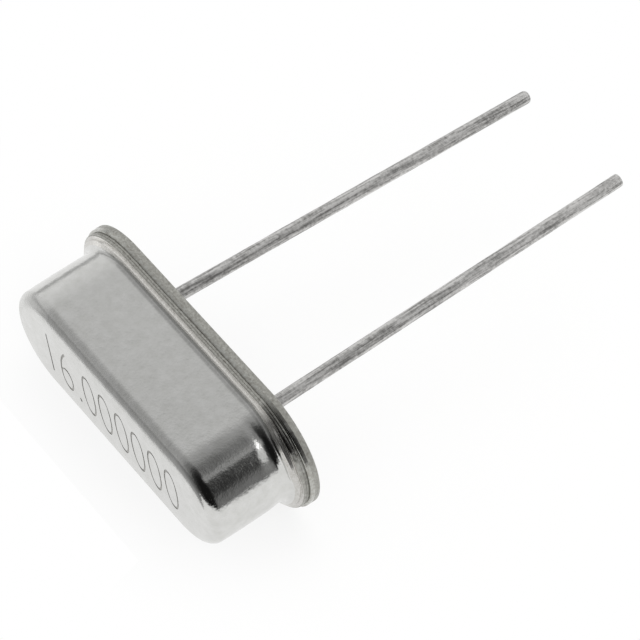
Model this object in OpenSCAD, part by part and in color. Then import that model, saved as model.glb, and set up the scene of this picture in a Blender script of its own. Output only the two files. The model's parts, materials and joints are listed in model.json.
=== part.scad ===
// Low-profile quartz crystal unit for through-hole mounting.
// A drawn metal cover with rounded ends is welded to a flanged metal base.
// Two wire leads pass through glass seals in the base and carry a quartz strip inside.
// The pieces are drawn upright, with the underside of the base at z = 0, the crown up
// and the leads down. The finished unit is then laid on its broad side, where it rests
// on the rim of the base and on the rounded edge of the crown.
// All lengths are in millimetres and all angles in degrees.

/* [Cover] */
// Length of the cover over its walls
cover_l = 10.05; // [9.5:0.05:10.3]
// Width of the cover over its walls
cover_w = 3.72; // [3.4:0.02:3.8]
// Height of the closed unit, from the underside of the base to the crown
unit_h = 3.4; // [3.2:0.1:5]
// Thickness of the drawn sheet
sheet_t = 0.25; // [0.2:0.01:0.28]
// Radius round the edge of the crown
crown_r = 0.3; // [0.29:0.01:0.5]
// Radius between the wall and the foot of the cover
foot_r = 0.17; // [0.1:0.01:0.2]

/* [Welded rim] */
// Length of the base over its flange
flange_l = 11.05; // [10.9:0.05:12]
// Width of the base over its flange
flange_w = 4.62; // [4.58:0.02:5]
// Thickness of the flange of the base
flange_t = 0.34; // [0.25:0.01:0.45]
// Distance that the foot of the cover stays inside the rim of the base
foot_inset = 0.04; // [0.03:0.01:0.06]
// Depth that the welding ring presses into the rim of the foot
weld_step = 0.08; // [0.04:0.01:0.12]
// Width of the pressed rim of the foot
weld_ring_w = 0.13; // [0.08:0.01:0.15]
// Radius on the outer edges of both rims
rim_r = 0.04; // [0.02:0.01:0.06]

/* [Base] */
// Height of the raised middle of the base above its underside
platform_h = 0.85; // [0.7:0.05:1]
// Gap between the raised middle and the wall of the cover
platform_gap = 0.1; // [0.05:0.01:0.2]
// Radius round the top edge of the raised middle
platform_r = 0.08; // [0.04:0.01:0.15]

/* [Leads] */
// Distance between the two leads at the base
lead_pitch = 4.88; // [4.6:0.02:5.2]
// Diameter of each lead over its coat of tin
lead_d = 0.43; // [0.38:0.01:0.5]
// Thickness of the tin on the leads
tin_t = 0.01; // [0.005:0.001:0.015]
// Length of bare wire between the base and the tin
bare_l = 0.18; // [0.15:0.01:0.4]
// Length of each lead below the base
lead_l = 14; // [3:0.5:20]
// Angle that the left lead leans, toward the right one
left_lean = 2.9; // [0.6:0.1:6]
// Angle that the right lead leans
right_lean = 0.6; // [0.6:0.1:6]
// Way that the right lead leans, turned from the long side of the base
right_lean_way = 45; // [-180:5:180]
// Radius of the bend at the root of each lead, to the middle of the wire
lead_bend_r = 1.2; // [0.8:0.1:3]
// Rounding of the left lead's cut end
left_tip_r = 0.14; // [0.05:0.01:0.18]
// Rounding of the right lead's cut end
right_tip_r = 0.04; // [0.01:0.01:0.18]
// Diameter of the flattened head inside the cover
head_d = 0.8; // [0.6:0.05:1]
// Thickness of the flattened head
head_t = 0.12; // [0.08:0.01:0.2]
// Height of the head above the raised middle of the base
head_gap = 0.1; // [0.05:0.01:0.15]

/* [Glass seals] */
// Diameter of the glass round each lead
seal_d = 1.5; // [1.2:0.05:1.7]
// Depth that each face of the glass dishes between lead and rim
seal_dish = 0.07; // [0.03:0.01:0.1]

/* [Quartz strip] */
// Working frequency in megahertz, which sets the thickness of the strip
frequency_mhz = 16; // [8:1:27]
// Gap between each end of the strip and the wall of the cover
end_gap = 0.78; // [0.4:0.02:1.2]
// Gap between the strip and the crown
crown_gap = 0.26; // [0.1:0.02:0.5]
// Gap between the strip and the foot of its clips
strip_gap = 0.12; // [0.05:0.01:0.2]
// Length of the silvered field on each face
field_l = 3.8; // [2.5:0.1:4.2]
// Height of the silvered field on each face
field_h = 1.15; // [0.8:0.05:1.3]
// Height of the silvered track from each field to one end of the strip
track_h = 0.35; // [0.2:0.05:0.6]
// Thickness of the silver, drawn thicker than the real film
silver_t = 0.015; // [0.01:0.005:0.02]

/* [Clips] */
// Width of the metal strip of each clip
clip_w = 1.3; // [1:0.05:1.6]
// Thickness of the metal strip of each clip
clip_t = 0.1; // [0.08:0.01:0.12]
// Inside radius of each clip's bend
clip_r = 0.2; // [0.12:0.01:0.25]
// Clearance between the quartz and each side of the slot that holds it
slot_gap = 0.03; // [0.025:0.005:0.06]
// Length of quartz that stands out past each clip
clip_inset = 0.15; // [0.1:0.01:0.3]
// Height of quartz that stands out above each clip
clip_drop = 0.15; // [0.1:0.01:0.3]
// Radius of the beads of conductive glue
glue_r = 0.34; // [0.2:0.01:0.4]

/* [Hidden] */
$fn = 64;

// Sizes of the cover and its foot
cover_run = cover_l - cover_w;
cover_half = cover_w / 2;
flange_run = flange_l - flange_w;
flange_half = flange_w / 2;
foot_half = flange_half - foot_inset;
ledge_z = flange_t + sheet_t;
bend_out = cover_half + foot_r;
bend_z = ledge_z + foot_r;

// Sizes of the pieces that stack up inside
platform_half = cover_half - sheet_t - platform_gap;
lead_x = lead_pitch / 2;
lead_r = lead_d / 2;
wire_r = lead_r - tin_t;
seal_r = seal_d / 2;
head_z = platform_h + head_gap;
clip_z = head_z + head_t;
strip_z = clip_z + clip_t + strip_gap;
strip_h = unit_h - sheet_t - crown_gap - strip_z;
strip_l = cover_l - 2 * sheet_t - 2 * end_gap;
strip_middle_z = strip_z + strip_h / 2;
clip_x = strip_l / 2 - clip_inset;
glue_x = clip_x - clip_t;

// A strip that vibrates in shear is 1.66 mm thick for one megahertz
shear_constant = 1.66;
strip_t = shear_constant / frequency_mhz;
slot_w = strip_t + 2 * slot_gap;

// Middles of the two round edges that touch the ground, as distance and height
rest_rim = [flange_half - rim_r, flange_t - rim_r];
rest_crown = [cover_half - crown_r, unit_h - crown_r];

// Tilt of the line that touches both round edges, and its distance from the unit's middle
rest_tilt = atan((rest_rim.x - rest_crown.x) / (rest_crown.y - rest_rim.y))
            - asin((crown_r - rim_r) / norm(rest_rim - rest_crown));
rest_lift = rest_rim.x * cos(rest_tilt) + rest_rim.y * sin(rest_tilt) + rim_r;

// Length of the middle of a lead's bend, and of the straight wire after it
function bend_l(lean) = lead_bend_r * lean * PI / 180;
function straight_l(lean) = lead_l - bare_l - bend_l(lean);

// Distance that a leaning lead's cut end lies out from its root and down from the base
function tip_out(lean) = lead_bend_r * (1 - cos(lean)) + straight_l(lean) * sin(lean);
function tip_down(lean) = bare_l + lead_bend_r * sin(lean) + straight_l(lean) * cos(lean);

// Share of a leaning lead's length that runs along the ground once the unit lies at rest
function lead_share(lean, way) =
    cos(lean) * cos(rest_tilt) - sin(lean) * sin(way) * sin(rest_tilt);

// Reach of a leaning lead along the ground, over its rounded tip
function lead_reach(lean, way, tip_r) =
    tip_down(lean) * cos(rest_tilt) - tip_out(lean) * sin(way) * sin(rest_tilt)
    + tip_r * (1 - lead_share(lean, way))
    + (lead_r - tip_r) * sqrt(1 - pow(lead_share(lean, way), 2));

// Reach of the crown and of the leads along the ground, which centres the unit
crown_reach = rest_crown.x * sin(rest_tilt) + rest_crown.y * cos(rest_tilt) + crown_r;
tips_reach = max(lead_reach(left_lean, 0, left_tip_r),
                 lead_reach(right_lean, right_lean_way, right_tip_r));
rest_shift = (crown_reach - tips_reach) / 2;

// Extra length that carries a cut through its surface
over = 1;

// Lays the upright unit on its broad side, with the leads pointing along +Y
module at_rest() {
    translate([0, rest_shift, rest_lift]) rotate([90 + rest_tilt, 0, 0]) children();
}

// Sweeps a profile round an oblong with half-round ends.
// The profile's x is the distance from the oblong's middle line and its y is the height.
module oblong_sweep(run) {
    for (side = [-1, 1])
        translate([side * run / 2, 0, 0]) rotate([0, 0, -side * 90])
            rotate_extrude(angle = 180) children();
    translate([-run / 2, 0, 0]) rotate([90, 0, 90]) linear_extrude(run) {
        children();
        mirror([1, 0]) children();
    }
}

// Profile of a slab that reaches from the middle line to half, with a rounded top edge
module capped_profile(half, low, high, r) {
    translate([0, low]) square([half - r, high - low]);
    translate([0, low]) square([half, high - r - low]);
    translate([half - r, high - r]) circle(r);
}

// Profile of a slab with both outer edges rounded
module rim_profile(half, low, high, r) {
    translate([0, low]) square([half - r, high - low]);
    translate([0, low + r]) square([half, high - low - 2 * r]);
    for (z = [low + r, high - r])
        translate([half - r, z]) circle(r);
}

// Crown, wall and bend of the cover, all of one sheet's thickness
module shell_profile() {
    difference() {
        capped_profile(cover_half, bend_z, unit_h, crown_r);
        capped_profile(cover_half - sheet_t, bend_z - over, unit_h - sheet_t, crown_r - sheet_t);
    }
    intersection() {
        translate([cover_half - sheet_t, flange_t])
            square([foot_r + sheet_t, foot_r + sheet_t]);
        translate([bend_out, bend_z]) difference() {
            circle(foot_r + sheet_t);
            circle(foot_r);
        }
    }
}

// Foot of the cover: a flat ledge inside a rim that the weld has pressed thinner
module cover_foot() {
    difference() {
        oblong_sweep(flange_run) {
            capped_profile(foot_half, flange_t, ledge_z - weld_step, rim_r);
            translate([0, flange_t]) square([foot_half - weld_ring_w, sheet_t]);
        }
        translate([0, 0, flange_t - over]) oblong_sweep(cover_run)
            square([bend_out, sheet_t + 2 * over]);
    }
}

module cover() {
    color("#c6c6c2") at_rest() {
        oblong_sweep(cover_run) shell_profile();
        cover_foot();
    }
}

// Stamped plate with a flange, a raised middle and a hole for each glass seal
module base() {
    color("#b4b4b1") at_rest() difference() {
        union() {
            oblong_sweep(flange_run) rim_profile(flange_half, 0, flange_t, rim_r);
            oblong_sweep(cover_run)
                capped_profile(platform_half, flange_t / 2, platform_h, platform_r);
        }
        for (side = [-1, 1])
            translate([side * lead_x, 0, -over]) cylinder(r = seal_r, h = platform_h + 2 * over);
    }
}

// Glass ring that fills its hole, wets the lead and dishes between the two
module glass_seal(side) {
    ring_w = seal_r - wire_r;
    dish_r = (ring_w * ring_w / 4 + seal_dish * seal_dish) / (2 * seal_dish);
    color("#3d4f49") at_rest() translate([side * lead_x, 0, 0]) rotate_extrude() difference() {
        translate([wire_r, 0]) square([ring_w, platform_h]);
        for (z = [seal_dish - dish_r, platform_h - seal_dish + dish_r])
            translate([wire_r + ring_w / 2, z]) circle(dish_r);
    }
}

module glass_seal_left() { glass_seal(-1); }
module glass_seal_right() { glass_seal(1); }

// Tinned wire that starts at z = 0 and ends in a rounded cut
module tinned_wire(length, tip_r) {
    rotate_extrude() {
        translate([0, -length]) square([lead_r - tip_r, length]);
        translate([0, tip_r - length]) square([lead_r, length - tip_r]);
        intersection() {
            translate([lead_r - tip_r, tip_r - length]) circle(tip_r);
            translate([0, -length]) square([lead_r, length]);
        }
    }
}

// Bare wire through the seal, with the flattened head on which the clip sits
module bare_wire() {
    translate([0, 0, -bare_l]) cylinder(r = wire_r, h = head_z + bare_l);
    translate([0, 0, head_z]) cylinder(d = head_d, h = head_t);
}

// A lead bends at its root, and then leans toward +X turned by way
module lead(side, lean, way, tip_r) {
    color("#a9a9a6") at_rest() translate([side * lead_x, 0, 0]) {
        bare_wire();
        rotate([0, 0, way]) translate([lead_bend_r, 0, -bare_l]) {
            rotate([90, 0, 0]) rotate([0, 0, 180]) rotate_extrude(angle = lean)
                translate([lead_bend_r, 0]) circle(lead_r);
            rotate([0, -lean, 0]) translate([-lead_bend_r, 0, 0])
                tinned_wire(straight_l(lean), tip_r);
        }
    }
}

module lead_left() { lead(-1, left_lean, 0, left_tip_r); }
module lead_right() { lead(1, right_lean, right_lean_way, right_tip_r); }

// Bent metal strip: its foot sits on the lead's head and its slot takes the quartz
module clip(side) {
    upright_top_z = strip_z + strip_h - clip_drop;
    corner_x = glue_x - clip_r;
    corner_z = clip_z + clip_t + clip_r;
    foot_x = lead_x - head_d / 2;
    color("#b9b7ad") at_rest() mirror([side < 0 ? 1 : 0, 0, 0]) difference() {
        translate([0, clip_w / 2, 0]) rotate([90, 0, 0]) linear_extrude(clip_w) {
            translate([foot_x, clip_z]) square([corner_x - foot_x, clip_t]);
            intersection() {
                translate([corner_x, corner_z]) difference() {
                    circle(clip_r + clip_t);
                    circle(clip_r);
                }
                translate([corner_x, clip_z]) square([clip_r + clip_t, clip_r + clip_t]);
            }
            translate([glue_x, corner_z]) square([clip_t, upright_top_z - corner_z]);
        }
        translate([foot_x, -slot_w / 2, strip_z - slot_gap]) cube([strip_l, slot_w, strip_h]);
    }
}

module clip_left() { clip(-1); }
module clip_right() { clip(1); }

// Thin quartz strip that stands on edge in the slots of both clips
module quartz_strip() {
    color("#d9e6ea", 0.6) at_rest()
        translate([-strip_l / 2, -strip_t / 2, strip_z]) cube([strip_l, strip_t, strip_h]);
}

// Silvered field with a track to one end, where a pad lies under the glue
module silver(side) {
    pad_x = glue_x - glue_r;
    color("#dcdcd8") at_rest() rotate([0, 0, side < 0 ? 180 : 0])
        translate([0, strip_t / 2 + silver_t, 0]) rotate([90, 0, 0]) linear_extrude(silver_t) {
            translate([-field_l / 2, strip_middle_z - field_h / 2]) square([field_l, field_h]);
            translate([0, strip_middle_z - track_h / 2]) square([strip_l / 2, track_h]);
            translate([pad_x, strip_middle_z - glue_r])
                square([strip_l / 2 - pad_x, 2 * glue_r]);
        }
}

module silver_front() { silver(1); }
module silver_back() { silver(-1); }

// Quarter ball of conductive glue in the corner between a clip and the face of the strip
module glue_bead(face_y) {
    intersection() {
        translate([glue_x, face_y, strip_middle_z]) sphere(glue_r);
        translate([glue_x - glue_r - over, face_y, strip_middle_z - glue_r - over])
            cube([glue_r + over, glue_r + over, 2 * (glue_r + over)]);
    }
}

// Two beads at one end: one on the silver's pad and one on bare quartz
module glue(side) {
    color("#8f8f88") at_rest() rotate([0, 0, side < 0 ? 180 : 0]) {
        glue_bead(strip_t / 2 + silver_t);
        mirror([0, 1, 0]) glue_bead(strip_t / 2);
    }
}

module glue_left() { glue(-1); }
module glue_right() { glue(1); }

cover();
base();
glass_seal_left();
glass_seal_right();
lead_left();
lead_right();
clip_left();
clip_right();
quartz_strip();
silver_front();
silver_back();
glue_left();
glue_right();
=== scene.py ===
"""Low-profile quartz crystal unit: a drawn nickel-plated can on a flanged base, with two tinned leads.

Each piece is modelled upright in millimetres, with the underside of the base at z = 0, the crown up
and the leads down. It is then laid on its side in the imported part's frame.
"""

import json
import math

import bmesh
import bpy
from mathutils import Matrix, Vector


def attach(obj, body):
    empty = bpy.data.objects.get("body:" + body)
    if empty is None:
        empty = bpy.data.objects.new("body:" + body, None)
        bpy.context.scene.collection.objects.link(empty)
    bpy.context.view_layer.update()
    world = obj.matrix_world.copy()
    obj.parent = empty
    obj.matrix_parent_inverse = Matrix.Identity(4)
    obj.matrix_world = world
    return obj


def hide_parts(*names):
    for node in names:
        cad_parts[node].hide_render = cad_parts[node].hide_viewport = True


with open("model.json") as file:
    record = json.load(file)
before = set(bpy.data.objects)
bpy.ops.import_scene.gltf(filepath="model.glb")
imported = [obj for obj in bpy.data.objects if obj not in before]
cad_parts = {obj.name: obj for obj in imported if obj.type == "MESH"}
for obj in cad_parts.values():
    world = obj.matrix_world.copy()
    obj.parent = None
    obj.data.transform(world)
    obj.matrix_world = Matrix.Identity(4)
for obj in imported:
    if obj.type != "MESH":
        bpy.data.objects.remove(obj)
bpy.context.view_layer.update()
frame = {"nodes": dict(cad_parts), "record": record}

# Sizes of the can in millimetres, as in the part's source
COVER_L, COVER_W, UNIT_H = 10.05, 3.72, 3.4
SHEET_T, CROWN_R, FOOT_R = 0.25, 0.3, 0.17
FLANGE_L, FLANGE_W, FLANGE_T = 11.05, 4.62, 0.34
FOOT_INSET, WELD_STEP, WELD_RING_W, RIM_R = 0.04, 0.08, 0.13, 0.04
PLATFORM_H, PLATFORM_GAP, PLATFORM_R = 0.85, 0.1, 0.08

# Sizes of the leads and their seals in millimetres, and the leads' lean in degrees
LEAD_PITCH, LEAD_D, TIN_T, BARE_L, LEAD_L = 4.88, 0.43, 0.01, 0.18, 14
LEFT_LEAN, RIGHT_LEAN, RIGHT_LEAN_WAY = 2.9, 0.6, 45
LEAD_BEND_R, LEFT_TIP_R, RIGHT_TIP_R = 1.2, 0.14, 0.04
HEAD_D, HEAD_T, HEAD_GAP = 0.8, 0.12, 0.1
SEAL_D, SEAL_DISH = 1.5, 0.07

# Sizes that follow from these
COVER_HALF, COVER_RUN = COVER_W / 2, COVER_L - COVER_W
FLANGE_HALF, FLANGE_RUN = FLANGE_W / 2, FLANGE_L - FLANGE_W
FOOT_HALF = FLANGE_HALF - FOOT_INSET
LEDGE_Z = FLANGE_T + SHEET_T
BEND_OUT = COVER_HALF + FOOT_R
PLATFORM_HALF = COVER_HALF - SHEET_T - PLATFORM_GAP
WIRE_R = LEAD_D / 2 - TIN_T

# Slight forms that only this visual model has, in millimetres
CROWN_DISH = ((1.0, 0), (1.25, 0.004), (1.42, 0.013))  # distance out, and the crown's fall there
CROWN_FALL, CROWN_NARROW, CROWN_SOFTEN = 0.05, 0.017, 0.02  # at the crown's rounded edge
WALL_DRAFT = ((2.95, 0.015), (2.7, 0.008), (2.3, 0.002))  # height, and how far the wall stands in there
WALL_ROWS = (1.9, 1.6, 1.45, 1.35, 1.27, 1.2, 1.13, 1.06, 1.0, 0.94, 0.88)  # heights with a row of edges
STEP_TOP_R, STEP_FOOT_R, SEAM_R = 0.02, 0.015, 0.01  # corners of the weld's step and of the foot's seam
GROOVE_Z, GROOVE_HALF, GROOVE_DEPTH = 0.08, 0.015, 0.018  # round the edge of the foot, over the base
LEDGE_RISE, LEDGE_TILT, FOOT_SWELL, NECK_DEPTH, NECK_TALLER = 0.03, 0.07, 0.07, 0.035, 0.1
SHEAR_Z = 0.2  # the punch has torn the edge of the base below this height

# Where those forms come and go, in millimetres or in parts of the direction outward
LEDGE_ENDS_X, SWELL_WAY_X, SWELL_WAY_Y = (2.7, 4.3), (0.3, 0.7), (0.1, 0.4)
RISE_COMES_Z, RISE_GOES_Z = (0.4, 0.6), (0.8, 1.5)
NECK_X, NECK_COMES_Z, NECK_GOES_Z, NECK_TALLER_WAY_X = (3.0, 4.0), (0.82, 0.97), (0.99, 1.3), (0.45, 0.75)
CLEAN_CUT_WAY_X = (0.05, 0.93)
TILT_LEAD = 0.04  # the ledge starts to tilt this far within the end of its bend

# How finely the shapes are drawn, with widths in millimetres
BEVEL_STEPS, SMALL_BEVEL_STEPS, SMALL_R = 12, 4, 0.05
HALF_TURN_STEPS, DISH_STEPS, SEAL_STEPS, HOLE_STEPS = 56, 14, 56, 64
WIRE_STEPS, WIRE_BEND_STEPS, TIN_RINGS, TIP_STEPS = 36, 4, 44, 6
# Narrow strips beside curved faces keep the flat ones' shading flat
SIDE_STRIP, BEND_STRIP, FLAT_STRIP = 0.06, 0.05, 0.04
# Faces this close to a plate's outline belong to its edge, and this close to the ledge, up and inward, to it
EDGE_BAND, LEDGE_UP, LEDGE_IN = 0.025, 0.2, 0.01
CREASE = 28  # an edge that turns by more degrees than this shades as a crease

# How the tin makes the wire thicker and thinner: share of its radius, and radians from ring to ring
(TIN_SWELL, SWELL_RATE), (TIN_RIPPLE, RIPPLE_RATE) = (0.008, 1.7), (0.006, 0.63)

# The marking on the crown, a plain frequency: lengths in millimetres, and the rest as shares
MARK_TEXT, MARK_SIZE, MARK_SPACING, MARK_SLANT = "16.000000", 2.65, 1.02, -0.25
MARK_THINNING, MARK_NARROWING, MARK_SHIFT = -0.08, 0.6, -0.2
MARK_DEPTH, CUTTER_HALF_T = 0.012, 0.03

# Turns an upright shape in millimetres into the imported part's frame, by its seat
seat = next(m for m in frame["record"]["mounts"] if m["name"] == "seat")
up = -Vector(seat["axis"])
to_camera_side = up.cross(Vector((1, 0, 0)))
LAID = (
    Matrix.Translation(seat["pos_m"])
    @ Matrix((Vector((1, 0, 0)), to_camera_side, up)).transposed().to_4x4()
    @ Matrix.Scale(0.001, 4)
)


def only(kind, geom):
    """The elements of one kind in what an operator returns."""
    return [g for g in geom if isinstance(g, kind)]


def chain(bm, x, corners):
    """Chain of edges across the section at x. Each corner is its distance out, its height and its radius."""
    points = [bm.verts.new((x, out, height)) for out, height, _ in corners]
    for pair in zip(points, points[1:]):
        bm.edges.new(pair)
    for point, (_, _, radius) in zip(points, corners):
        if radius:
            bmesh.ops.bevel(
                bm, geom=[point], affect="VERTICES", offset_type="OFFSET", offset=radius,
                segments=SMALL_BEVEL_STEPS if radius < SMALL_R else BEVEL_STEPS, profile=0.5, material=-1)


def pull(bm, ring, move, scale=1.0):
    """Extrudes a ring or chain of edges, moves the new one and scales it about its own middle."""
    made = bmesh.ops.extrude_edge_only(bm, edges=ring)["geom"]
    points = only(bmesh.types.BMVert, made)
    bmesh.ops.translate(bm, verts=points, vec=move)
    middle = sum((p.co for p in points), Vector()) / len(points)
    bmesh.ops.scale(bm, verts=points, vec=(scale,) * 3, space=Matrix.Translation(-middle))
    return [e for e in only(bmesh.types.BMEdge, made) if set(e.verts) <= set(points)]


def sweep_round(bm, run):
    """Carries the chain at x = run / 2 round an oblong: half turns at its ends, runs along its sides."""
    edges = bm.edges[:]
    for end in (1, -1):
        turned = bmesh.ops.spin(
            bm, geom=edges, cent=(end * run / 2, 0, 0), axis=(0, 0, -1), angle=math.pi,
            steps=HALF_TURN_STEPS, use_duplicate=False)
        edges = only(bmesh.types.BMEdge, turned["geom_last"])
        for step in (SIDE_STRIP, run - 2 * SIDE_STRIP, SIDE_STRIP):
            edges = pull(bm, edges, (-end * step, 0, 0))
    bmesh.ops.remove_doubles(bm, verts=bm.verts, dist=1e-4)


def smooth_step(value, low, high):
    """0 below low, 1 above high, and a soft rise between them."""
    part = min(max((value - low) / (high - low), 0), 1)
    return part * part * (3 - 2 * part)


def reach(point, run):
    """Distance of a point from the middle line of an oblong with this straight run."""
    return math.hypot(max(abs(point.x) - run / 2, 0), point.y)


def open_rings(bm):
    """The edges that still lack a face on one side."""
    return [e for e in bm.edges if e.is_boundary]


def put_in_scene(name, data):
    """A new object for a mesh, lamp or camera, linked to the scene."""
    made = bpy.data.objects.new(name, data)
    bpy.context.scene.collection.objects.link(made)
    return made


def finished(name, bm, finishes):
    """A finished shape as an object with its materials."""
    mesh = bpy.data.meshes.new(name)
    bm.to_mesh(mesh)
    bm.free()
    for finish in finishes:
        mesh.materials.append(finish)
    return put_in_scene(name, mesh)


def lay_piece(name, bm, finishes, node):
    """Lays a finished upright shape at rest, and lets it stand for its CAD node."""
    bmesh.ops.remove_doubles(bm, verts=bm.verts, dist=1e-5)
    bmesh.ops.recalc_face_normals(bm, faces=bm.faces)
    for face in bm.faces:
        face.smooth = len(face.verts) < 5
    for edge in bm.edges:
        edge.smooth = len(edge.link_faces) == 2 and edge.calc_face_angle() < math.radians(CREASE)
    bm.transform(LAID)
    piece = finished(name, bm, finishes)
    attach(piece, "root")
    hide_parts(node)
    return piece


# Materials. Patterns read Object coordinates, which are in metres.

MM = 0.001  # a millimetre in metres
PER_MM = 1000.0  # turns 1 / millimetres into the scale of a pattern


def colour(code):
    """An sRGB hex colour as linear values."""
    parts = [int(code[i:i + 2], 16) / 255 for i in (1, 3, 5)]
    return [p / 12.92 if p <= 0.04045 else ((p + 0.055) / 1.055) ** 2.4 for p in parts] + [1.0]


def add(tree, kind, inputs=None, stops=None, **settings):
    """Adds a node. An input that is a node or a socket is linked, and any other is set."""
    made = tree.nodes.new("ShaderNode" + kind)
    for key, value in settings.items():
        setattr(made, key, value)
    if stops:
        bands = made.color_ramp.elements
        while len(bands) < len(stops):
            bands.new(1.0)
        for band, (place, shade) in zip(bands, stops):
            band.position = place
            band.color = shade if hasattr(shade, "__len__") else (shade, shade, shade, 1)
    for key, value in (inputs or {}).items():
        if isinstance(value, bpy.types.Node):
            value = value.outputs[0]
        if isinstance(value, bpy.types.NodeSocket):
            tree.links.new(value, made.inputs[key])
        else:
            made.inputs[key].default_value = value
    return made


def new_finish(name):
    """A new material, its node tree, and the Object coordinates that its patterns read."""
    finish = bpy.data.materials.new(name)
    finish.use_nodes = True
    tree = finish.node_tree
    tree.nodes.clear()
    return finish, tree, add(tree, "TexCoord").outputs["Object"]


def close_finish(tree, shader):
    """Takes the shader to the material's output."""
    add(tree, "OutputMaterial", {"Surface": shader})


# Satin nickel, plated on deep-drawn steel sheet. The plate follows the sheet's grain, so mirror images
# stay but their edges soften. Drawing has left faint waves, handling has left patches, and the rounded
# edge of the crown is rubbed duller, except at its right end. The grain is really near 0.02 mm, too
# fine to show, and is drawn at 0.08 mm.
satin_nickel, tree, where = new_finish("satin_nickel_plate")
grain = add(tree, "TexNoise", {"Vector": where, "Scale": PER_MM / 0.08, "Detail": 3, "Roughness": 0.6})
mottle = add(tree, "TexNoise", {"Vector": where, "Scale": PER_MM / 0.3, "Detail": 4, "Roughness": 0.6})
drawing = add(tree, "TexNoise", {"Vector": where, "Scale": PER_MM / 1.1, "Detail": 1})
tone = add(tree, "ValToRGB", {"Fac": mottle}, stops=[(0.28, colour("#CBCBC8")), (0.7, colour("#D6D6D4"))])
gloss = add(tree, "MapRange", {
    "Value": grain, "From Min": 0.3, "From Max": 0.7, "To Min": 0.085, "To Max": 0.175})
along_up = add(tree, "VectorMath", {0: where, 1: up}, operation="DOT_PRODUCT")
height = add(tree, "Math", {
    0: along_up.outputs["Value"], 1: up.dot(Vector(seat["pos_m"]))}, operation="SUBTRACT")
over_wall = add(tree, "MapRange", {
    "Value": height, "From Min": (UNIT_H - CROWN_R - 0.1) * MM, "From Max": (UNIT_H - CROWN_R) * MM,
    "To Min": 0.0, "To Max": 0.12})
below_flat = add(tree, "MapRange", {
    "Value": height, "From Min": (UNIT_H - 0.02) * MM, "From Max": (UNIT_H - 0.01) * MM,
    "To Min": 1.0, "To Max": 0.0})
left_of_end = add(tree, "MapRange", {
    "Value": add(tree, "SeparateXYZ", {0: where}).outputs["X"],
    "From Min": 2.0 * MM, "From Max": 3.5 * MM, "To Min": 1.0, "To Max": 0.0})
rubbed = add(tree, "Math", {0: over_wall, 1: left_of_end}, operation="MULTIPLY")
gloss = add(tree, "Math", {0: rubbed, 1: below_flat, 2: gloss}, operation="MULTIPLY_ADD")
fine = add(tree, "Bump", {"Height": grain, "Strength": 1.0, "Distance": 0.0037 * MM})
patchy = add(tree, "Bump", {"Height": mottle, "Strength": 1.0, "Distance": 0.006 * MM, "Normal": fine})
waved = add(tree, "Bump", {"Height": drawing, "Strength": 1.0, "Distance": 0.01 * MM, "Normal": patchy})
close_finish(tree, add(tree, "BsdfPrincipled", {
    "Base Color": tone, "Metallic": 1.0, "Roughness": gloss, "Normal": waved}))

# The same plate where the welding ring has pressed it: frosted along the sides, and still bright at the
# ends, where the ring has hardly touched it. The very ends are darker, with their colour scaled down. The
# pits are really near 0.03 mm, too fine to show, and are drawn at 0.07 mm.
pressed_nickel, tree, where = new_finish("pressed_nickel_rim")
pits = add(tree, "TexNoise", {"Vector": where, "Scale": PER_MM / 0.07, "Detail": 4, "Roughness": 0.65})
tone = add(tree, "ValToRGB", {"Fac": pits}, stops=[(0.32, colour("#D4D2CC")), (0.62, colour("#EEECE8"))])
fine = add(tree, "Bump", {"Height": pits, "Strength": 1.0, "Distance": 0.002 * MM})
from_middle = add(tree, "Math", {
    0: add(tree, "SeparateXYZ", {0: where}).outputs["X"]}, operation="ABSOLUTE")
bright = add(tree, "MapRange", {
    "Value": from_middle, "From Min": 3.4 * MM, "From Max": 3.9 * MM, "To Min": 0.55, "To Max": 0.96})
frost = add(tree, "MapRange", {
    "Value": from_middle, "From Min": 3.4 * MM, "From Max": 3.9 * MM, "To Min": 0.38, "To Max": 0.22})
# Darker toward the very ends: the colour is scaled down there
darker_ends = add(tree, "MapRange", {
    "Value": from_middle, "From Min": 4.4 * MM, "From Max": 4.9 * MM, "To Min": 1.0, "To Max": 0.72})
tone = add(tree, "VectorMath", {0: tone, "Scale": darker_ends}, operation="SCALE")
close_finish(tree, add(tree, "BsdfPrincipled", {
    "Base Color": tone, "Metallic": bright, "Roughness": frost, "Normal": fine}))

# Nickel plate on a stamped steel base: the stamped faces and the top of the edge are smooth, with a soft
# grey shine. The pits are really near 0.04 mm, too fine to show, and are drawn at 0.12 mm.
stamped_nickel, tree, where = new_finish("stamped_nickel_base")
pits = add(tree, "TexNoise", {"Vector": where, "Scale": PER_MM / 0.12, "Detail": 4, "Roughness": 0.65})
tone = add(tree, "ValToRGB", {"Fac": pits}, stops=[(0.3, colour("#98958E")), (0.65, colour("#BFC0BB"))])
fine = add(tree, "Bump", {"Height": pits, "Strength": 1.0, "Distance": 0.004 * MM})
close_finish(tree, add(tree, "BsdfPrincipled", {
    "Base Color": tone, "Metallic": 1.0, "Roughness": 0.22, "Normal": fine}))

# The same plate on steel torn by the punch, on the lower edge of the base and on the edge of the foot:
# rough, so that it looks nearly matt. The tears are really near 0.04 mm, too fine to show, and are drawn
# at 0.09 mm.
sheared_nickel, tree, where = new_finish("sheared_nickel_edge")
tears = add(tree, "TexNoise", {"Vector": where, "Scale": PER_MM / 0.09, "Detail": 4, "Roughness": 0.7})
tone = add(tree, "ValToRGB", {"Fac": tears}, stops=[(0.32, colour("#807E78")), (0.65, colour("#ADADA7"))])
fine = add(tree, "Bump", {"Height": tears, "Strength": 1.0, "Distance": 0.005 * MM})
close_finish(tree, add(tree, "BsdfPrincipled", {
    "Base Color": tone, "Metallic": 0.45, "Roughness": 0.42, "Normal": fine}))

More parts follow.
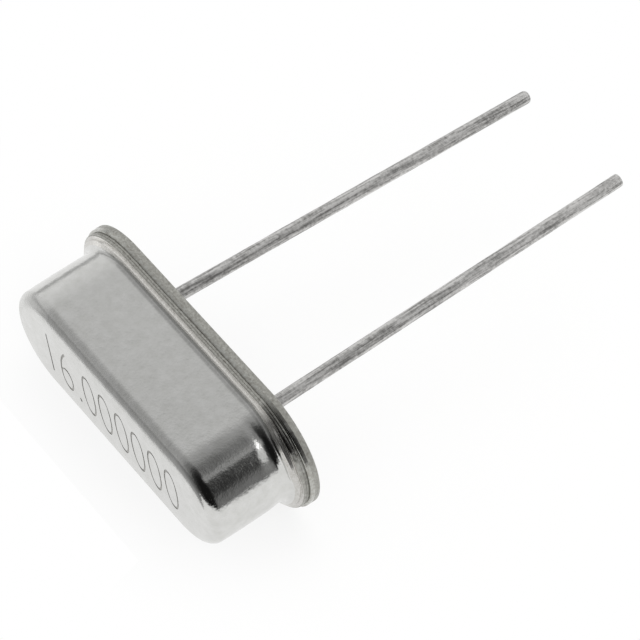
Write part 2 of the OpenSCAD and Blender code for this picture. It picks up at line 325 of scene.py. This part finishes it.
# The edge of the foot at its right end: the punch cut one stretch clean, so that it mirrors the tent's
# dark opening. The stretch has ragged ends, and past them the edge is torn as elsewhere, with tears
# drawn as coarse as there.
clean_cut_nickel, tree, where = new_finish("clean_cut_nickel_edge")
tears = add(tree, "TexNoise", {"Vector": where, "Scale": PER_MM / 0.09, "Detail": 4, "Roughness": 0.7})
tone = add(tree, "ValToRGB", {"Fac": tears}, stops=[(0.32, colour("#8C8A84")), (0.65, colour("#B6B6B1"))])
fine = add(tree, "Bump", {"Height": tears, "Strength": 1.0, "Distance": 0.0045 * MM})
ragged = add(tree, "Math", {
    0: tears, 1: 0.6 * MM, 2: add(tree, "SeparateXYZ", {0: where}).outputs["X"]}, operation="MULTIPLY_ADD")
start = add(tree, "MapRange", {"Value": ragged, "From Min": 3.65 * MM, "From Max": 3.8 * MM})
stop = add(tree, "MapRange", {
    "Value": ragged, "From Min": 5.1 * MM, "From Max": 5.4 * MM, "To Min": 1.0, "To Max": 0.0})
clean = add(tree, "Math", {0: start, 1: stop}, operation="MULTIPLY")
bright = add(tree, "MapRange", {"Value": clean, "To Min": 0.45, "To Max": 1.0})
frost = add(tree, "MapRange", {"Value": clean, "To Min": 0.42, "To Max": 0.22})
close_finish(tree, add(tree, "BsdfPrincipled", {
    "Base Color": tone, "Metallic": bright, "Roughness": frost, "Normal": fine}))

# Marking cut by a laser: burnt, matt and a little darker than the plate. The burnt spots are really near
# 0.02 mm, too fine to show, and are drawn at 0.05 mm.
laser_mark, tree, where = new_finish("laser_marked_nickel")
burn = add(tree, "TexNoise", {"Vector": where, "Scale": PER_MM / 0.05, "Detail": 2})
tone = add(tree, "ValToRGB", {"Fac": burn}, stops=[(0.35, colour("#A5A4A0")), (0.65, colour("#BFBEBA"))])
close_finish(tree, add(tree, "BsdfPrincipled", {"Base Color": tone, "Metallic": 1.0, "Roughness": 0.45}))

# Dark glass powder fused round each lead: glossy, nearly black, slightly green and see-through, with
# bubbles near 0.1 mm.
fused_glass, tree, where = new_finish("fused_seal_glass")
bubbles = add(tree, "TexNoise", {"Vector": where, "Scale": PER_MM / 0.12, "Detail": 2})
tone = add(tree, "ValToRGB", {"Fac": bubbles}, stops=[(0.35, colour("#25332F")), (0.7, colour("#3C4E48"))])
fine = add(tree, "Bump", {"Height": bubbles, "Strength": 1.0, "Distance": 0.003 * MM})
close_finish(tree, add(tree, "BsdfPrincipled", {
    "Base Color": tone, "Roughness": 0.08, "IOR": 1.53, "Transmission Weight": 0.25, "Normal": fine}))


def tinned_wire(name, lean, way):
    """Hot-dipped tin on drawn wire: dull grey, with drops near 0.1 mm and streaks that run along the wire."""
    finish, tree, where = new_finish(name)
    # Turned so that z runs down the wire, then drawn out along it
    turn = (LAID.to_3x3().normalized() @ Matrix.Rotation(math.radians(way), 3, "Z")
            @ Matrix.Rotation(-math.radians(lean), 3, "Y")).inverted().to_euler()
    along = add(tree, "Mapping", {"Vector": where, "Rotation": turn})
    drawn = add(tree, "Mapping", {"Vector": along, "Scale": (1, 1, 0.06)})
    streaks = add(tree, "TexNoise", {
        "Vector": drawn, "Scale": PER_MM / 0.07, "Detail": 4, "Roughness": 0.6})
    drops = add(tree, "TexNoise", {
        "Vector": along, "Scale": PER_MM / 0.11, "Detail": 3, "Roughness": 0.6})
    both = add(tree, "Math", {0: drops, 1: 0.5, 2: streaks}, operation="MULTIPLY_ADD")
    share = add(tree, "Math", {0: both, 1: 1.5}, operation="DIVIDE")
    tone = add(tree, "ValToRGB", {"Fac": share}, stops=[(0.4, colour("#807F7D")), (0.58, colour("#D2D1CF"))])
    fine = add(tree, "Bump", {"Height": both, "Strength": 1.0, "Distance": 0.006 * MM})
    close_finish(tree, add(tree, "BsdfPrincipled", {
        "Base Color": tone, "Metallic": 0.6, "Roughness": 0.38, "Normal": fine}))
    return finish


left_tin = tinned_wire("tinned_wire_left", LEFT_LEAN, 0)
right_tin = tinned_wire("tinned_wire_right", RIGHT_LEAN, RIGHT_LEAN_WAY)

# Plain nickel strip, cut and bent: bright, with fine rolling lines. They are really near 0.005 mm apart,
# too fine to show, and are drawn at 0.03 mm.
nickel_strip, tree, where = new_finish("rolled_nickel_strip")
rolled = add(tree, "Mapping", {"Vector": where, "Scale": (1, 0.05, 1)})
lines = add(tree, "TexNoise", {"Vector": rolled, "Scale": PER_MM / 0.03, "Detail": 2})
tone = add(tree, "ValToRGB", {"Fac": lines}, stops=[(0.3, colour("#B9B4A6")), (0.7, colour("#CFCABD"))])
fine = add(tree, "Bump", {"Height": lines, "Strength": 1.0, "Distance": 0.0005 * MM})
close_finish(tree, add(tree, "BsdfPrincipled", {
    "Base Color": tone, "Metallic": 1.0, "Roughness": 0.22, "Normal": fine}))

# Quartz, lapped and lightly etched: clear crystal with a fine frost. The frost is really near 0.01 mm,
# too fine to show, and is drawn at 0.02 mm.
lapped_quartz, tree, where = new_finish("lapped_quartz")
frost = add(tree, "TexNoise", {"Vector": where, "Scale": PER_MM / 0.02, "Detail": 2})
haze = add(tree, "MapRange", {
    "Value": frost, "From Min": 0.3, "From Max": 0.7, "To Min": 0.22, "To Max": 0.34})
close_finish(tree, add(tree, "BsdfPrincipled", {
    "Base Color": colour("#EEF4F5"), "Roughness": haze, "IOR": 1.544, "Transmission Weight": 0.9}))

# Silver, evaporated on the quartz: bright and white, with the frost of the quartz showing through, drawn
# as coarse as on the quartz.
silver_film, tree, where = new_finish("evaporated_silver")
frost = add(tree, "TexNoise", {"Vector": where, "Scale": PER_MM / 0.02, "Detail": 2})
tone = add(tree, "ValToRGB", {"Fac": frost}, stops=[(0.3, colour("#E2E0DA")), (0.7, colour("#F0EEE9"))])
fine = add(tree, "Bump", {"Height": frost, "Strength": 1.0, "Distance": 0.0003 * MM})
close_finish(tree, add(tree, "BsdfPrincipled", {
    "Base Color": tone, "Metallic": 1.0, "Roughness": 0.25, "Normal": fine}))

# Epoxy filled with silver flakes: matt grey paste with a faint glitter. The flakes are really near
# 0.01 mm, too fine to show, and are drawn at 0.02 mm.
silver_epoxy, tree, where = new_finish("silver_filled_epoxy")
flakes = add(tree, "TexVoronoi", {"Vector": where, "Scale": PER_MM / 0.02}).outputs["Distance"]
tone = add(tree, "ValToRGB", {"Fac": flakes}, stops=[(0.1, colour("#B4B2AB")), (0.6, colour("#8F8D86"))])
fine = add(tree, "Bump", {"Height": flakes, "Strength": 1.0, "Distance": 0.002 * MM})
close_finish(tree, add(tree, "BsdfPrincipled", {
    "Base Color": tone, "Metallic": 0.35, "Roughness": 0.6, "Normal": fine}))


# Cover: one closed section of sheet, swept round the oblong
bm = bmesh.new()
chain(bm, COVER_RUN / 2, [
    # Crown and wall, outside
    *[(out, UNIT_H - fall, 0) for out, fall in CROWN_DISH],
    (COVER_HALF - CROWN_NARROW, UNIT_H - CROWN_FALL, CROWN_R + CROWN_SOFTEN),
    *[(COVER_HALF - inward, height, 0) for height, inward in WALL_DRAFT],
    *[(COVER_HALF, height, 0) for height in WALL_ROWS],
    (COVER_HALF, LEDGE_Z + FOOT_R + BEND_STRIP, 0),
    # Concave bend, ledge, step of the weld, and the edge of the foot with its groove
    (COVER_HALF, LEDGE_Z, FOOT_R),
    (FOOT_HALF - WELD_RING_W, LEDGE_Z, STEP_TOP_R),
    (FOOT_HALF - WELD_RING_W, LEDGE_Z - WELD_STEP, STEP_FOOT_R),
    (FOOT_HALF, LEDGE_Z - WELD_STEP, RIM_R),
    (FOOT_HALF, FLANGE_T + GROOVE_Z + GROOVE_HALF, 0),
    (FOOT_HALF - GROOVE_DEPTH, FLANGE_T + GROOVE_Z, 0),
    (FOOT_HALF, FLANGE_T + GROOVE_Z - GROOVE_HALF, 0),
    (FOOT_HALF, FLANGE_T, SEAM_R),
    # Inside
    (COVER_HALF - SHEET_T, FLANGE_T, FOOT_R + SHEET_T),
    (COVER_HALF - SHEET_T, UNIT_H - SHEET_T, CROWN_R - SHEET_T),
    (COVER_HALF - CROWN_R, UNIT_H - SHEET_T, 0),
])
sweep_round(bm, COVER_RUN)
bmesh.ops.holes_fill(bm, edges=open_rings(bm), sides=0)
# Drawing pulls the ledge up at the ends, so that it slopes there. The right end also has a slight neck
# over the foot, and a fuller foot on the side that lies up.
for v in bm.verts:
    middle = Vector((math.copysign(min(abs(v.co.x), COVER_RUN / 2), v.co.x), 0, v.co.z))
    outward = v.co - middle
    way = outward.normalized()
    inner = 1 - smooth_step(outward.length, BEND_OUT - TILT_LEAD, FOOT_HALF - WELD_RING_W)
    rise = (LEDGE_RISE + LEDGE_TILT * inner) * smooth_step(abs(v.co.x), *LEDGE_ENDS_X)
    rise += FOOT_SWELL * smooth_step(way.x, *SWELL_WAY_X) * smooth_step(way.y, *SWELL_WAY_Y)
    v.co.z += rise * smooth_step(v.co.z, *RISE_COMES_Z) * (1 - smooth_step(v.co.z, *RISE_GOES_Z))
    neck_low, neck_top = NECK_GOES_Z
    neck_top += NECK_TALLER * smooth_step(way.x, *NECK_TALLER_WAY_X)
    neck = smooth_step(v.co.x, *NECK_X) * smooth_step(v.co.z, *NECK_COMES_Z)
    v.co -= way * NECK_DEPTH * neck * (1 - smooth_step(v.co.z, neck_low, neck_top))
# The wall is satin, the ledge and its ring are pressed, and the edge is torn or, on one stretch, cut clean
cover_finishes = [satin_nickel, pressed_nickel, sheared_nickel, clean_cut_nickel]
for face in bm.faces:
    middle = face.calc_center_median()
    out = reach(middle, COVER_RUN)
    if middle.z < LEDGE_Z + LEDGE_UP and out > BEND_OUT - LEDGE_IN:
        finish = pressed_nickel
        if out > FOOT_HALF - EDGE_BAND:
            low, high = CLEAN_CUT_WAY_X
            cut_clean = middle.y > 0 and low < (middle.x - COVER_RUN / 2) / out < high
            finish = clean_cut_nickel if cut_clean else sheared_nickel
        face.material_index = cover_finishes.index(finish)
cover = lay_piece("cover_shell", bm, cover_finishes, "cover")

# Marking on the crown, in thin strokes, cut as shallow grooves
strokes = bpy.data.curves.new("crown_marking", "FONT")
strokes.body, strokes.size, strokes.space_character = MARK_TEXT, MARK_SIZE, MARK_SPACING
strokes.align_x, strokes.align_y = "CENTER", "CENTER"
strokes.shear, strokes.offset, strokes.extrude = MARK_SLANT, MARK_THINNING, CUTTER_HALF_T
marking = put_in_scene("crown_marking", strokes)
bpy.context.view_layer.update()
cutter_mesh = bpy.data.meshes.new_from_object(marking.evaluated_get(bpy.context.evaluated_depsgraph_get()))
bpy.data.objects.remove(marking)
cutter_mesh.transform(
    LAID @ Matrix.Translation((0, MARK_SHIFT, UNIT_H + CUTTER_HALF_T - MARK_DEPTH))
    @ Matrix.Diagonal((MARK_NARROWING, 1, 1, 1)))
cutter_mesh.materials.clear()
cutter_mesh.materials.append(laser_mark)
cutter = put_in_scene("marking_cutter", cutter_mesh)
groove = cover.modifiers.new("marking", "BOOLEAN")
groove.operation, groove.solver, groove.object = "DIFFERENCE", "EXACT", cutter
groove.material_mode = "TRANSFER"
bpy.context.view_layer.update()
cut = bpy.data.meshes.new_from_object(cover.evaluated_get(bpy.context.evaluated_depsgraph_get()))
cover.modifiers.clear()
cover.data = cut
bpy.data.objects.remove(cutter)

# Base: flange, raised middle and a hole for each glass seal
bm = bmesh.new()
chain(bm, FLANGE_RUN / 2, [
    (PLATFORM_HALF - PLATFORM_R - FLAT_STRIP, PLATFORM_H, 0),
    (PLATFORM_HALF, PLATFORM_H, PLATFORM_R),
    (PLATFORM_HALF, FLANGE_T, 0),
    (FLANGE_HALF - RIM_R - FLAT_STRIP, FLANGE_T, 0),
    (FLANGE_HALF, FLANGE_T, RIM_R),
    (FLANGE_HALF, SHEAR_Z, 0),
    (FLANGE_HALF, 0, RIM_R),
    (FLANGE_HALF - RIM_R - FLAT_STRIP, 0, 0),
])
sweep_round(bm, FLANGE_RUN)
for height in (0, PLATFORM_H):
    rim = [e for e in open_rings(bm) if all(abs(v.co.z - height) < 1e-4 for v in e.verts)]
    for side in (-1, 1):
        made = bmesh.ops.create_circle(
            bm, segments=HOLE_STEPS, radius=SEAL_D / 2,
            matrix=Matrix.Translation((side * LEAD_PITCH / 2, 0, height)))
        rim += {e for v in made["verts"] for e in v.link_edges}
    bmesh.ops.triangle_fill(bm, use_beauty=True, use_dissolve=False, edges=rim)
for side in (-1, 1):
    hole = [e for e in open_rings(bm) if e.verts[0].co.x * side > 0]
    bmesh.ops.bridge_loops(bm, edges=hole)
for face in bm.faces:
    middle = face.calc_center_median()
    torn = reach(middle, FLANGE_RUN) > FLANGE_HALF - EDGE_BAND and middle.z < SHEAR_Z
    face.material_index = int(torn)
lay_piece("stamped_base", bm, [stamped_nickel, sheared_nickel], "base")

# Glass seals: a ring that fills its hole and dishes between the lead and the rim
for side, which in ((-1, "left"), (1, "right")):
    bm = bmesh.new()
    ring_w = SEAL_D / 2 - WIRE_R
    dish_r = (ring_w ** 2 / 4 + SEAL_DISH ** 2) / (2 * SEAL_DISH)
    dish_angle = 2 * math.asin(ring_w / 2 / dish_r)
    start = bm.verts.new((WIRE_R, 0, 0))
    made = bmesh.ops.spin(
        bm, geom=[start], cent=(WIRE_R + ring_w / 2, 0, SEAL_DISH - dish_r), axis=(0, 1, 0),
        angle=dish_angle, steps=DISH_STEPS)
    edge_point = only(bmesh.types.BMVert, made["geom_last"])[0]
    rise = bmesh.ops.extrude_vert_indiv(bm, verts=[edge_point])["verts"]
    bmesh.ops.translate(bm, verts=rise, vec=(0, 0, PLATFORM_H))
    made = bmesh.ops.spin(
        bm, geom=rise, cent=(WIRE_R + ring_w / 2, 0, PLATFORM_H - SEAL_DISH + dish_r), axis=(0, 1, 0),
        angle=dish_angle, steps=DISH_STEPS)
    bm.edges.new((start, only(bmesh.types.BMVert, made["geom_last"])[0]))
    bmesh.ops.spin(
        bm, geom=bm.verts[:] + bm.edges[:], cent=(0, 0, 0), axis=(0, 0, 1), angle=2 * math.pi,
        steps=SEAL_STEPS, use_merge=True)
    bmesh.ops.translate(bm, verts=bm.verts, vec=(side * LEAD_PITCH / 2, 0, 0))
    lay_piece("fused_seal_" + which, bm, [fused_glass], "glass_seal_" + which)

# Leads: a flattened head, bare wire through the glass, and tinned wire that bends at its root
for side, which, lean, way, tip_r, tin in (
    (-1, "left", LEFT_LEAN, 0, LEFT_TIP_R, left_tin),
    (1, "right", RIGHT_LEAN, RIGHT_LEAN_WAY, RIGHT_TIP_R, right_tin),
):
    root = Vector((side * LEAD_PITCH / 2, 0, 0))
    lean, way = math.radians(lean), math.radians(way)
    out = Vector((math.cos(way), math.sin(way), 0))
    down = out * math.sin(lean) - Vector((0, 0, math.cos(lean)))
    head_z = PLATFORM_H + HEAD_GAP
    bm = bmesh.new()
    made = bmesh.ops.create_circle(
        bm, cap_ends=True, segments=WIRE_STEPS, radius=HEAD_D / 2,
        matrix=Matrix.Translation(root + Vector((0, 0, head_z + HEAD_T))))
    ring = list({e for v in made["verts"] for e in v.link_edges})
    ring = pull(bm, ring, (0, 0, -HEAD_T))
    ring = pull(bm, ring, (0, 0, 0), 2 * WIRE_R / HEAD_D)
    ring = pull(bm, ring, (0, 0, -head_z - BARE_L))
    ring = pull(bm, ring, (0, 0, 0), LEAD_D / 2 / WIRE_R)
    turned = bmesh.ops.spin(
        bm, geom=ring, cent=root + out * LEAD_BEND_R - Vector((0, 0, BARE_L)),
        axis=out.cross(Vector((0, 0, 1))), angle=lean, steps=WIRE_BEND_STEPS, use_duplicate=False)
    ring = only(bmesh.types.BMEdge, turned["geom_last"])
    straight = LEAD_L - BARE_L - LEAD_BEND_R * lean
    thick = 1.0
    for i in range(TIN_RINGS):
        # The tin lies a little thicker and thinner along the wire, but not at its ends
        now = 1.0
        if 0 < i < TIN_RINGS - 1:
            now = 1 + TIN_SWELL * math.sin(SWELL_RATE * i + side) + TIN_RIPPLE * math.sin(RIPPLE_RATE * i)
        ring = pull(bm, ring, down * straight / TIN_RINGS, now / thick)
        thick = now
    bmesh.ops.holes_fill(bm, edges=ring, sides=0)
    bmesh.ops.bevel(
        bm, geom=ring, affect="EDGES", offset_type="OFFSET", offset=tip_r, segments=TIP_STEPS,
        profile=0.5, material=-1)
    lay_piece("tinned_lead_" + which, bm, [tin], "lead_" + which)

# The pieces sealed inside keep their CAD shape
for node, finish in {
    "clip_left": nickel_strip, "clip_right": nickel_strip, "quartz_strip": lapped_quartz,
    "silver_front": silver_film, "silver_back": silver_film,
    "glue_left": silver_epoxy, "glue_right": silver_epoxy,
}.items():
    inner = frame["nodes"][node]
    inner.data.materials.clear()
    inner.data.materials.append(finish)


# Studio: a white paper floor inside a grey light tent, which opens dark toward the camera's side

PAPER_BACK = 0.1101  # back edge of the paper, in metres
# Corners of its front edge: it is cut close to the crown, and slants away from it on the right
PAPER_FRONT = ((-0.032, -0.0099), (0.0035, -0.0099), (0.0055, -0.017), (0.088, -0.05))
SHADOW_R, SHADOW_END_R, WHITE_SHARE = 0.007, 0.013, 0.8  # where the paper is partly left to the lamps
TENT_R = 0.6

# Directions from the unit: to the tent's dark opening, to a pale gap by it, and across that gap's slit
DARK_OPENING, PALE_GAP, ACROSS_SLIT = (0.8187, -0.4353, 0.3746), (0.44, 0.212, 0.873), (0.885, 0.073, -0.46)
# Round patches of light: direction, the angle's cosines at the rim and the core, and the light it adds
LIGHT_PATCHES = (
    (PALE_GAP, 0.975, 0.992, 0.08),  # in the wall, where the right end starts to turn away
    ((0.922, 0.3725, 0.1045), 0.92, 0.985, 0.13),  # in the wall and the foot's edge, past the dark zone
    ((0.42, 0.57, 0.706), 0.984, 0.993, 1.8),  # a lamp at the back: the bright streak in the neck
    ((0.6, 0.57, 0.56), 0.945, 0.965, 0.6),  # a card at the back: the pale part beside that streak
)


def seen_by_itself(tree):
    """1 where the camera sees a thing straight, in metal or through glass, and 0 where it lights others."""
    ray = add(tree, "LightPath")
    seen = add(tree, "Math", {
        0: ray.outputs["Is Camera Ray"], 1: ray.outputs["Is Glossy Ray"]}, operation="MAXIMUM")
    return add(tree, "Math", {0: seen, 1: ray.outputs["Is Transmission Ray"]}, operation="MAXIMUM")


# White paper, shown as plain white. Close to the unit a fifth is left to the lamps, for its soft shadow.
white_floor, tree, where = new_finish("white_paper_floor")
from_unit = add(tree, "VectorMath", {0: where}, operation="LENGTH")
glow = add(tree, "MapRange", {
    "Value": from_unit.outputs["Value"],
    "From Min": SHADOW_R, "From Max": SHADOW_END_R, "To Min": WHITE_SHARE, "To Max": 1.0})
share = add(tree, "Math", {0: seen_by_itself(tree), 1: glow}, operation="MULTIPLY")
paper = add(tree, "BsdfDiffuse", {"Color": colour("#F7F7F6")})
lit = add(tree, "Emission", {"Color": colour("#FFFFFF"), "Strength": 1.0})
close_finish(tree, add(tree, "MixShader", {0: share, 1: paper, 2: lit}))
bm = bmesh.new()
bmesh.ops.create_grid(bm, x_segments=3, y_segments=1, size=1)
columns = sorted(bm.verts, key=lambda v: (round(v.co.x, 4), v.co.y))
for front, back, (x, y) in zip(columns[::2], columns[1::2], PAPER_FRONT):
    front.co = (x, y, 0)
    back.co = (x, PAPER_BACK, 0)
floor = finished("floor", bm, [white_floor])

# Tent cloth: grey, bright at the back and dark at the opening. It shows only in mirror images.
tent_cloth, tree, where = new_finish("grey_tent_cloth")
toward = add(tree, "VectorMath", {0: where}, operation="NORMALIZE")
sides = add(tree, "SeparateXYZ", {0: toward})
# The cloth darkens step by step toward the opening, and is darker at its hem, near the floor
near = add(tree, "VectorMath", {0: toward, 1: DARK_OPENING}, operation="DOT_PRODUCT")
spread = add(tree, "MapRange", {"Value": near.outputs["Value"], "From Min": -1.0, "From Max": 1.0})
level = add(tree, "ValToRGB", {"Fac": spread}, stops=[
    (0.0, 0.95), (0.117, 0.9), (0.329, 0.76), (0.456, 0.68), (0.544, 0.45), (0.655, 0.34),
    (0.716, 0.22), (0.772, 0.18), (0.821, 0.11), (0.877, 0.08), (0.91, 0.03)])
hem = add(tree, "MapRange", {
    "Value": sides.outputs["Z"], "From Min": 0.06, "From Max": 0.14, "To Min": 0.55, "To Max": 1.0})
level = add(tree, "Math", {0: level, 1: hem}, operation="MULTIPLY")
# A black cloth in front on the right, from just below the unit up: the black corner of the crown's edge
to_right = add(tree, "MapRange", {"Value": sides.outputs["X"], "From Min": 0.0, "From Max": 0.15})
above = add(tree, "MapRange", {"Value": sides.outputs["Z"], "From Min": -0.15, "From Max": 0.1})
black_cloth = add(tree, "MapRange", {
    "Value": sides.outputs["Y"], "From Min": -0.1, "From Max": 0.12, "To Min": 0.65, "To Max": 0.0})
black_cloth = add(tree, "Math", {0: to_right, 1: black_cloth}, operation="MULTIPLY")
black_cloth = add(tree, "Math", {0: above, 1: black_cloth}, operation="MULTIPLY")
left_over = add(tree, "Math", {0: 1.0, 1: black_cloth}, operation="SUBTRACT")
level = add(tree, "Math", {0: level, 1: left_over}, operation="MULTIPLY")
for direction, rim, core, light in LIGHT_PATCHES:
    near = add(tree, "VectorMath", {0: toward, 1: direction}, operation="DOT_PRODUCT")
    patch = add(tree, "MapRange", {
        "Value": near.outputs["Value"], "From Min": rim, "From Max": core, "To Min": 0.0, "To Max": light})
    level = add(tree, "Math", {0: level, 1: patch}, operation="ADD")
# A grey card in front, low on the left: a lighter left end
to_left = add(tree, "MapRange", {"Value": sides.outputs["X"], "From Min": -0.5, "From Max": -0.62})
below = add(tree, "MapRange", {"Value": sides.outputs["Z"], "From Min": 0.0, "From Max": -0.25})
grey_card = add(tree, "MapRange", {
    "Value": sides.outputs["Y"], "From Min": 0.0, "From Max": -0.2, "To Min": 0.0, "To Max": 0.28})
grey_card = add(tree, "Math", {0: to_left, 1: grey_card}, operation="MULTIPLY")
grey_card = add(tree, "Math", {0: below, 1: grey_card}, operation="MULTIPLY")
level = add(tree, "Math", {0: level, 1: grey_card}, operation="ADD")
# A narrow slit of light through the pale gap: the pale line down the wall, beside the dark zone
across = add(tree, "VectorMath", {0: toward, 1: ACROSS_SLIT}, operation="DOT_PRODUCT")
across = add(tree, "Math", {0: across.outputs["Value"], 1: 0.07}, operation="SUBTRACT")
across = add(tree, "Math", {0: across}, operation="ABSOLUTE")
slit = add(tree, "MapRange", {
    "Value": across, "From Min": 0.07, "From Max": 0.1, "To Min": 0.19, "To Max": 0.0})
near = add(tree, "VectorMath", {0: toward, 1: PALE_GAP}, operation="DOT_PRODUCT")
in_gap = add(tree, "MapRange", {"Value": near.outputs["Value"], "From Min": 0.9, "From Max": 0.95})
slit = add(tree, "Math", {0: slit, 1: in_gap}, operation="MULTIPLY")
level = add(tree, "Math", {0: level, 1: slit}, operation="ADD")
close_finish(tree, add(tree, "Emission", {"Color": level, "Strength": 1.0}))
bm = bmesh.new()
bmesh.ops.create_uvsphere(bm, u_segments=48, v_segments=24, radius=TENT_R)
tent = finished("light_tent", bm, [tent_cloth])
tent.visible_camera = tent.visible_diffuse = tent.visible_shadow = False

# World: white where it is seen, and a little lower where it lights the unit
world = bpy.data.worlds.new("white_room")
bpy.context.scene.world = world
world.use_nodes = True
tree = world.node_tree
tree.nodes.clear()
strength = add(tree, "MapRange", {"Value": seen_by_itself(tree), "To Min": 0.84, "To Max": 1.0})
sky = add(tree, "Background", {"Color": colour("#FFFFFF"), "Strength": strength})
add(tree, "OutputWorld", {"Surface": sky})

# Square lamps, turned toward the unit: the name, the power in watts and the place in metres of each
LAMP_W = 0.3
for name, power, place in (
    ("overhead_softbox", 0.32, (-0.12, 0.1, 0.38)),
    ("side_fill", 0.3, (0.3, -0.04, 0.25)),
):
    softbox = bpy.data.lights.new(name, "AREA")
    softbox.shape, softbox.size, softbox.energy = "SQUARE", LAMP_W, power
    lamp = put_in_scene(name, softbox)
    lamp.location = place
    lamp.rotation_euler = Vector(place).to_track_quat("Z", "Y").to_euler()
    lamp.visible_glossy = False

# Camera at the photograph's angle: place and aim in millimetres about the upright unit, roll in degrees,
# lens and sensor in millimetres, and the nearest and farthest that it sees in metres
EYE, AIM, ROLL = (42.11, 77.262, 28.837), (1.307, 0.714, -3.283), 0.139
LENS, SENSOR_W = 175.86, 36
NEAREST, FARTHEST = 0.002, 10
eye = LAID @ Vector(EYE)
view = (LAID @ Vector(AIM) - eye).normalized()
level_x = view.cross(to_camera_side).normalized()
level_y = level_x.cross(view)
roll = math.radians(ROLL)
cam_y = level_y * math.cos(roll) - level_x * math.sin(roll)
cam_x = view.cross(cam_y)
optics = bpy.data.cameras.new("camera")
optics.lens, optics.sensor_width = LENS, SENSOR_W
optics.clip_start, optics.clip_end = NEAREST, FARTHEST
camera = put_in_scene("camera", optics)
camera.matrix_world = Matrix.Translation(eye) @ Matrix((cam_x, cam_y, -view)).transposed().to_4x4()
bpy.context.scene.camera = camera
bpy.context.scene.view_settings.view_transform = "Standard"
